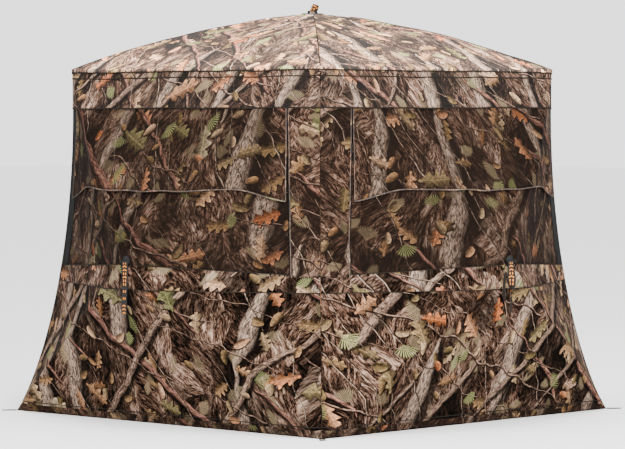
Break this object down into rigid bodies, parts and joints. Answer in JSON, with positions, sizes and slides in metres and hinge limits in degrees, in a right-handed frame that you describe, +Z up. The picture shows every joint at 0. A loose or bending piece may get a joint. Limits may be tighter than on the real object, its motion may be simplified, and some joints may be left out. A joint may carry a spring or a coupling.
{
  "type": "pop up ground blind",
  "caption": "Square pop-up ground blind with bulging camouflage walls, a domed roof, pull-out hubs with folding poles, see-through window bands and a zipped door.",
  "frame": {"origin": "middle of the square footprint, on the ground", "axes": "+Z up; the walls face +X (right), +Y (back), -X (left) and -Y (front)"},
  "size_m": [2.3896, 2.3896, 1.8744],
  "materials": {
    "roof_camo": "matte",
    "wall_camo": "matte",
    "screen_mesh": "matte",
    "curtain_camo": "matte",
    "hem_webbing": "matte",
    "tab_webbing": "matte",
    "grommet_metal": "satin",
    "hub_plastic": "satin",
    "pole_fibreglass": "satin",
    "roof_strap_webbing": "matte",
    "strap_webbing": "matte",
    "zip_tape": "matte",
    "zip_metal": "satin"
  },
  "bodies": {
    "root": {"roof_canopy": "roof_camo", "valance": "wall_camo", "corner_panels": "wall_camo", "ground_hem": "hem_webbing", "stake_tabs": "tab_webbing", "stake_grommets": "grommet_metal", "right_window_screen": "screen_mesh", "right_lower_wall": "wall_camo", "right_window_curtain": "curtain_camo", "back_window_screen": "screen_mesh", "back_lower_wall": "wall_camo", "back_window_curtain": "curtain_camo", "left_window_screen": "screen_mesh", "left_lower_wall": "wall_camo", "left_window_curtain": "curtain_camo", "front_window_screen": "screen_mesh", "front_lower_wall": "wall_camo", "front_window_curtain": "curtain_camo"},
    "roof_hub_body": {"roof_hub": "hub_plastic", "roof_hub_cap": "hub_plastic"},
    "roof_pole_1_body": {"roof_pole_1": "pole_fibreglass"},
    "roof_pole_2_body": {"roof_pole_2": "pole_fibreglass"},
    "roof_pole_3_body": {"roof_pole_3": "pole_fibreglass"},
    "roof_pole_4_body": {"roof_pole_4": "pole_fibreglass"},
    "roof_pull_strap_body": {"roof_pull_strap": "roof_strap_webbing"},
    "right_hub_body": {"right_hub": "hub_plastic", "right_hub_cap": "hub_plastic"},
    "right_pole_1_body": {"right_pole_1": "pole_fibreglass"},
    "right_pole_2_body": {"right_pole_2": "pole_fibreglass"},
    "right_pole_3_body": {"right_pole_3": "pole_fibreglass"},
    "right_pole_4_body": {"right_pole_4": "pole_fibreglass"},
    "right_pull_strap_body": {"right_pull_strap": "strap_webbing"},
    "back_hub_body": {"back_hub": "hub_plastic", "back_hub_cap": "hub_plastic"},
    "back_pole_1_body": {"back_pole_1": "pole_fibreglass"},
    "back_pole_2_body": {"back_pole_2": "pole_fibreglass"},
    "back_pole_3_body": {"back_pole_3": "pole_fibreglass"},
    "back_pole_4_body": {"back_pole_4": "pole_fibreglass"},
    "back_pull_strap_body": {"back_pull_strap": "strap_webbing"},
    "left_hub_body": {"left_hub": "hub_plastic", "left_hub_cap": "hub_plastic"},
    "left_pole_1_body": {"left_pole_1": "pole_fibreglass"},
    "left_pole_2_body": {"left_pole_2": "pole_fibreglass"},
    "left_pole_3_body": {"left_pole_3": "pole_fibreglass"},
    "left_pole_4_body": {"left_pole_4": "pole_fibreglass"},
    "left_pull_strap_body": {"left_pull_strap": "strap_webbing"},
    "front_hub_body": {"front_hub": "hub_plastic", "front_hub_cap": "hub_plastic"},
    "front_pole_1_body": {"front_pole_1": "pole_fibreglass"},
    "front_pole_2_body": {"front_pole_2": "pole_fibreglass"},
    "front_pole_3_body": {"front_pole_3": "pole_fibreglass"},
    "front_pole_4_body": {"front_pole_4": "pole_fibreglass"},
    "front_pull_strap_body": {"front_pull_strap": "strap_webbing"},
    "door_frame_body": {"door_zip_tape": "zip_tape"},
    "door_panel_body": {"door_panel": "wall_camo"},
    "door_zip_slider_body": {"door_zip_slider": "zip_metal"}
  },
  "joints": [
    {"name": "roof_hub_pop", "type": "slide", "parent": "root", "child": "roof_hub_body", "axis": [0, 0, 1], "range_m": [-0.25, 0], "deforming": ["roof_canopy"]},
    {"name": "roof_pole_1_fold", "type": "hinge", "parent": "roof_hub_body", "child": "roof_pole_1_body", "pos_m": [0.02616, 0.02616, 1.79969], "axis": [-0.7071, 0.7071, 0], "range_deg": [-14.91, 0]},
    {"name": "roof_pole_2_fold", "type": "hinge", "parent": "roof_hub_body", "child": "roof_pole_2_body", "pos_m": [-0.02616, 0.02616, 1.79969], "axis": [-0.7071, -0.7071, 0], "range_deg": [-14.91, 0]},
    {"name": "roof_pole_3_fold", "type": "hinge", "parent": "roof_hub_body", "child": "roof_pole_3_body", "pos_m": [-0.02616, -0.02616, 1.79969], "axis": [0.7071, -0.7071, 0], "range_deg": [-14.91, 0]},
    {"name": "roof_pole_4_fold", "type": "hinge", "parent": "roof_hub_body", "child": "roof_pole_4_body", "pos_m": [0.02616, -0.02616, 1.79969], "axis": [0.7071, 0.7071, 0], "range_deg": [-14.91, 0]},
    {"name": "roof_strap_swing", "type": "hinge", "parent": "roof_hub_body", "child": "roof_pull_strap_body", "pos_m": [0, 0, 1.83579], "axis": [-1, 0, 0], "range_deg": [-50, 40]},
    {"name": "right_hub_pop", "type": "slide", "parent": "root", "child": "right_hub_body", "axis": [1, 0, 0], "range_m": [-0.31, 0], "deforming": ["right_window_screen", "right_lower_wall", "right_window_curtain"]},
    {"name": "right_pole_1_fold", "type": "hinge", "parent": "right_hub_body", "child": "right_pole_1_body", "pos_m": [1.1532, 0.02479, 0.74747], "axis": [0, -0.7425, 0.6699], "range_deg": [-17.59, 0]},
    {"name": "right_pole_2_fold", "type": "hinge", "parent": "right_hub_body", "child": "right_pole_2_body", "pos_m": [1.1532, -0.02479, 0.74747], "axis": [0, -0.7425, -0.6699], "range_deg": [-17.59, 0]},
    {"name": "right_pole_3_fold", "type": "hinge", "parent": "right_hub_body", "child": "right_pole_3_body", "pos_m": [1.1532, -0.02902, 0.69704], "axis": [0, 0.6205, -0.7842], "range_deg": [-16.77, 0]},
    {"name": "right_pole_4_fold", "type": "hinge", "parent": "right_hub_body", "child": "right_pole_4_body", "pos_m": [1.1532, 0.02902, 0.69704], "axis": [0, 0.6205, 0.7842], "range_deg": [-16.77, 0]},
    {"name": "right_strap_swing", "type": "hinge", "parent": "right_hub_body", "child": "right_pull_strap_body", "pos_m": [1.1893, 0, 0.72], "axis": [0, -1, 0], "range_deg": [0, 150]},
    {"name": "back_hub_pop", "type": "slide", "parent": "root", "child": "back_hub_body", "axis": [0, 1, 0], "range_m": [-0.31, 0], "deforming": ["back_window_screen", "back_lower_wall", "back_window_curtain", "corner_panels"]},
    {"name": "back_pole_1_fold", "type": "hinge", "parent": "back_hub_body", "child": "back_pole_1_body", "pos_m": [-0.02479, 1.1532, 0.74747], "axis": [0.7425, 0, 0.6699], "range_deg": [-17.59, 0]},
    {"name": "back_pole_2_fold", "type": "hinge", "parent": "back_hub_body", "child": "back_pole_2_body", "pos_m": [0.02479, 1.1532, 0.74747], "axis": [0.7425, 0, -0.6699], "range_deg": [-17.59, 0]},
    {"name": "back_pole_3_fold", "type": "hinge", "parent": "back_hub_body", "child": "back_pole_3_body", "pos_m": [0.02902, 1.1532, 0.69704], "axis": [-0.6205, 0, -0.7842], "range_deg": [-16.77, 0]},
    {"name": "back_pole_4_fold", "type": "hinge", "parent": "back_hub_body", "child": "back_pole_4_body", "pos_m": [-0.02902, 1.1532, 0.69704], "axis": [-0.6205, 0, 0.7842], "range_deg": [-16.77, 0]},
    {"name": "back_strap_swing", "type": "hinge", "parent": "back_hub_body", "child": "back_pull_strap_body", "pos_m": [0, 1.1893, 0.72], "axis": [1, 0, 0], "range_deg": [0, 150]},
    {"name": "left_hub_pop", "type": "slide", "parent": "root", "child": "left_hub_body", "axis": [-1, 0, 0], "range_m": [-0.31, 0], "deforming": ["left_window_screen", "left_lower_wall", "left_window_curtain"]},
    {"name": "left_pole_1_fold", "type": "hinge", "parent": "left_hub_body", "child": "left_pole_1_body", "pos_m": [-1.1532, -0.02479, 0.74747], "axis": [0, 0.7425, 0.6699], "range_deg": [-17.59, 0]},
    {"name": "left_pole_2_fold", "type": "hinge", "parent": "left_hub_body", "child": "left_pole_2_body", "pos_m": [-1.1532, 0.02479, 0.74747], "axis": [0, 0.7425, -0.6699], "range_deg": [-17.59, 0]},
    {"name": "left_pole_3_fold", "type": "hinge", "parent": "left_hub_body", "child": "left_pole_3_body", "pos_m": [-1.1532, 0.02902, 0.69704], "axis": [0, -0.6205, -0.7842], "range_deg": [-16.77, 0]},
    {"name": "left_pole_4_fold", "type": "hinge", "parent": "left_hub_body", "child": "left_pole_4_body", "pos_m": [-1.1532, -0.02902, 0.69704], "axis": [0, -0.6205, 0.7842], "range_deg": [-16.77, 0]},
    {"name": "left_strap_swing", "type": "hinge", "parent": "left_hub_body", "child": "left_pull_strap_body", "pos_m": [-1.1893, 0, 0.72], "axis": [0, 1, 0], "range_deg": [0, 150]},
    {"name": "front_hub_pop", "type": "slide", "parent": "root", "child": "front_hub_body", "axis": [0, -1, 0], "range_m": [-0.31, 0], "deforming": ["front_window_screen", "front_lower_wall", "front_window_curtain"]},
    {"name": "front_pole_1_fold", "type": "hinge", "parent": "front_hub_body", "child": "front_pole_1_body", "pos_m": [0.02479, -1.1532, 0.74747], "axis": [-0.7425, 0, 0.6699], "range_deg": [-17.59, 0]},
    {"name": "front_pole_2_fold", "type": "hinge", "parent": "front_hub_body", "child": "front_pole_2_body", "pos_m": [-0.02479, -1.1532, 0.74747], "axis": [-0.7425, 0, -0.6699], "range_deg": [-17.59, 0]},
    {"name": "front_pole_3_fold", "type": "hinge", "parent": "front_hub_body", "child": "front_pole_3_body", "pos_m": [-0.02902, -1.1532, 0.69704], "axis": [0.6205, 0, -0.7842], "range_deg": [-16.77, 0]},
    {"name": "front_pole_4_fold", "type": "hinge", "parent": "front_hub_body", "child": "front_pole_4_body", "pos_m": [0.02902, -1.1532, 0.69704], "axis": [0.6205, 0, 0.7842], "range_deg": [-16.77, 0]},
    {"name": "front_strap_swing", "type": "hinge", "parent": "front_hub_body", "child": "front_pull_strap_body", "pos_m": [0, -1.1893, 0.72], "axis": [-1, 0, 0], "range_deg": [0, 150]},
    {"name": "door_frame_follow", "type": "hinge", "parent": "root", "child": "door_frame_body", "pos_m": [-0.84705, 0.84705, 0.54661], "axis": [0.1059, -0.1059, 0.9887], "range_deg": [-12.7, 0]},
    {"name": "door_swing", "type": "hinge", "parent": "door_frame_body", "child": "door_panel_body", "pos_m": [-0.41475, 1.04647, 0.78173], "axis": [-0.0495, 0.1281, -0.9905], "range_deg": [0, 110]},
    {"name": "door_zip_slide", "type": "slide", "parent": "door_frame_body", "child": "door_zip_slider_body", "axis": [0.1099, -0.1149, 0.9873], "range_m": [0, 1]}
  ],
  "couplings": [
    {"joint": "roof_pole_1_fold", "follows": "roof_hub_pop", "rad_per_m": 1.0061},
    {"joint": "roof_pole_2_fold", "follows": "roof_hub_pop", "rad_per_m": 1.0061},
    {"joint": "roof_pole_3_fold", "follows": "roof_hub_pop", "rad_per_m": 1.0061},
    {"joint": "roof_pole_4_fold", "follows": "roof_hub_pop", "rad_per_m": 1.0061},
    {"joint": "right_pole_1_fold", "follows": "right_hub_pop", "rad_per_m": 0.96197},
    {"joint": "right_pole_2_fold", "follows": "right_hub_pop", "rad_per_m": 0.96197},
    {"joint": "right_pole_3_fold", "follows": "right_hub_pop", "rad_per_m": 0.91629},
    {"joint": "right_pole_4_fold", "follows": "right_hub_pop", "rad_per_m": 0.91629},
    {"joint": "back_pole_1_fold", "follows": "back_hub_pop", "rad_per_m": 0.96197},
    {"joint": "back_pole_2_fold", "follows": "back_hub_pop", "rad_per_m": 0.96197},
    {"joint": "back_pole_3_fold", "follows": "back_hub_pop", "rad_per_m": 0.91629},
    {"joint": "back_pole_4_fold", "follows": "back_hub_pop", "rad_per_m": 0.91629},
    {"joint": "left_pole_1_fold", "follows": "left_hub_pop", "rad_per_m": 0.96197},
    {"joint": "left_pole_2_fold", "follows": "left_hub_pop", "rad_per_m": 0.96197},
    {"joint": "left_pole_3_fold", "follows": "left_hub_pop", "rad_per_m": 0.91629},
    {"joint": "left_pole_4_fold", "follows": "left_hub_pop", "rad_per_m": 0.91629},
    {"joint": "front_pole_1_fold", "follows": "front_hub_pop", "rad_per_m": 0.96197},
    {"joint": "front_pole_2_fold", "follows": "front_hub_pop", "rad_per_m": 0.96197},
    {"joint": "front_pole_3_fold", "follows": "front_hub_pop", "rad_per_m": 0.91629},
    {"joint": "front_pole_4_fold", "follows": "front_hub_pop", "rad_per_m": 0.91629},
    {"joint": "door_frame_follow", "follows": "back_hub_pop", "rad_per_m": 0.68687}
  ]
}
